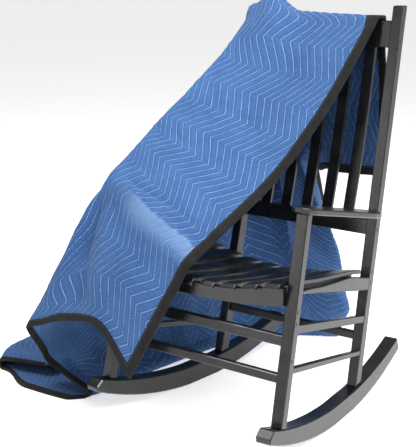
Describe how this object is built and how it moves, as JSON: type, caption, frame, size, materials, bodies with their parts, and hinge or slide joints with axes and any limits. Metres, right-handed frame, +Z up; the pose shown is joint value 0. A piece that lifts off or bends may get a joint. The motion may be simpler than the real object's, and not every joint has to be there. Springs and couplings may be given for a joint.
{
  "type": "moving pad draped over a wooden rocking chair",
  "caption": "A blue quilted moving pad with a black binding, draped over a black wooden rocking chair",
  "frame": {"origin": "middle of the whole footprint at floor level", "axes": "+Z up, the chair faces -Y, and +X is the sitter's left, the side that the pad leaves open"},
  "size_m": [1.195, 1.1854, 1.1526],
  "materials": {
    "chair_black_paint": "satin black paint over smooth wood",
    "pad_blue_cloth": "matt woven blue cloth, quilted in a zigzag, a little puffed between the stitch lines",
    "pad_black_binding": "matt black woven strip, folded over the edge and sewn"
  },
  "bodies": {
    "root": {"rocker_left": "chair_black_paint", "rocker_right": "chair_black_paint", "front_leg_left": "chair_black_paint", "front_leg_right": "chair_black_paint", "back_post_left": "chair_black_paint", "back_post_right": "chair_black_paint", "armrest_left": "chair_black_paint", "armrest_right": "chair_black_paint", "side_rung_upper_left": "chair_black_paint", "side_rung_upper_right": "chair_black_paint", "side_rung_lower_left": "chair_black_paint", "side_rung_lower_right": "chair_black_paint", "seat_rail_side_left": "chair_black_paint", "seat_rail_side_right": "chair_black_paint", "seat_slat_1": "chair_black_paint", "seat_slat_2": "chair_black_paint", "seat_slat_3": "chair_black_paint", "seat_slat_4": "chair_black_paint", "seat_slat_5": "chair_black_paint", "seat_slat_6": "chair_black_paint", "seat_slat_7": "chair_black_paint", "seat_slat_8": "chair_black_paint", "seat_rail_front": "chair_black_paint", "seat_rail_rear": "chair_black_paint", "top_rail": "chair_black_paint", "low_back_rail": "chair_black_paint", "back_slat_1": "chair_black_paint", "back_slat_2": "chair_black_paint", "back_slat_3": "chair_black_paint", "back_slat_4": "chair_black_paint", "back_slat_5": "chair_black_paint", "front_rung_upper": "chair_black_paint", "front_rung_lower": "chair_black_paint", "back_rung": "chair_black_paint", "pad_cloth": "pad_blue_cloth", "pad_binding": "pad_black_binding"}
  },
  "joints": []
}
